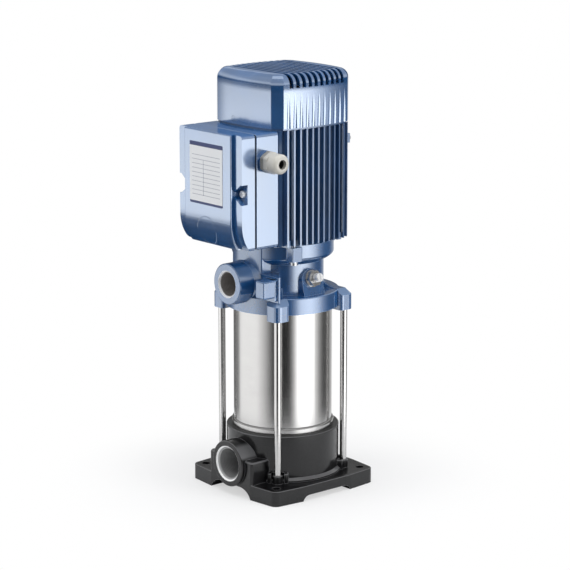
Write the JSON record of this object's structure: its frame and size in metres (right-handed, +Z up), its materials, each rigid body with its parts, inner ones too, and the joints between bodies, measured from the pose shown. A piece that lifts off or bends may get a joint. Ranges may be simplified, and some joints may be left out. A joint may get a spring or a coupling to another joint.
{
  "type": "vertical multistage pump",
  "caption": "Vertical multistage pump: square foot casting, steel barrel between tie rods, delivery head with port, finned motor with fan cover, side terminal box.",
  "frame": {"origin": "on the pump axis, level with the underside of the foot's four pads, in the middle of its four bolt holes", "axes": "+Z up along the pump axis, both pipe ports and the terminal box face -Y, the cable gland faces +X"},
  "size_m": [0.1825, 0.2115, 0.5455],
  "materials": {
    "blue_paint": "deep blue enamel",
    "blue_moulding": "deep blue, satin gloss",
    "black_casting": "black coated casting",
    "polished_steel": "polished stainless tube",
    "bright_steel": "plain machined steel",
    "inner_steel": "pressed stainless sheet",
    "iron": "bare iron",
    "black_rubber": "moulded rubber",
    "copper": "varnished copper wire",
    "brass": "bright brass",
    "grey_plastic": "light grey moulding",
    "dark_plastic": "black moulding",
    "alloy": "cast light alloy"
  },
  "bodies": {
    "pump_body": {"base_casting": "black_casting", "barrel_sleeve": "polished_steel", "barrel_o_rings": "black_rubber", "tie_rods": "bright_steel", "inlet_spider": "inner_steel", "lower_bush": "dark_plastic", "stage_casing_1": "inner_steel", "stage_casing_2": "inner_steel", "stage_casing_3": "inner_steel", "stage_casing_4": "inner_steel", "stage_casing_5": "inner_steel", "stack_clamp_ring": "inner_steel", "delivery_head": "blue_paint", "seal_cover": "inner_steel", "seal_seat": "grey_plastic", "flange_bolts": "bright_steel", "priming_plug": "bright_steel", "drive_end_shield": "alloy", "motor_housing": "blue_paint", "stator_core": "iron", "stator_windings": "copper", "bearing_outer_races": "bright_steel", "top_end_shield": "alloy", "motor_tie_bolts": "bright_steel", "fan_cover": "blue_moulding", "fan_cover_screws": "bright_steel", "terminal_box_base": "blue_moulding", "terminal_box_lid": "blue_moulding", "lid_gasket": "black_rubber", "lid_screws": "bright_steel", "terminal_board": "dark_plastic", "terminal_studs": "brass", "run_capacitor": "alloy", "gland_body": "grey_plastic", "gland_nut": "grey_plastic", "gland_seal": "black_rubber", "earth_screw": "bright_steel"},
    "rotor": {"pump_shaft": "bright_steel", "impeller_1": "inner_steel", "impeller_2": "inner_steel", "impeller_3": "inner_steel", "impeller_4": "inner_steel", "impeller_5": "inner_steel", "shaft_spacers": "inner_steel", "impeller_nut": "bright_steel", "seal_head": "bright_steel", "coupling_sleeve": "iron", "rotor_core": "iron", "bearing_inner_races": "bright_steel", "motor_shaft": "bright_steel", "fan": "dark_plastic"},
    "vent": {"vent_screw": "bright_steel"}
  },
  "joints": [
    {"name": "rotor_spin", "type": "hinge", "parent": "pump_body", "child": "rotor", "pos_m": [0, 0, 0.3], "axis": [0, 0, 1], "continuous": true},
    {"name": "vent_turn", "type": "hinge", "parent": "pump_body", "child": "vent", "pos_m": [0.0575, 0, 0.281], "axis": [0.9659, 0, 0.2588], "range_deg": [0, 330]}
  ]
}
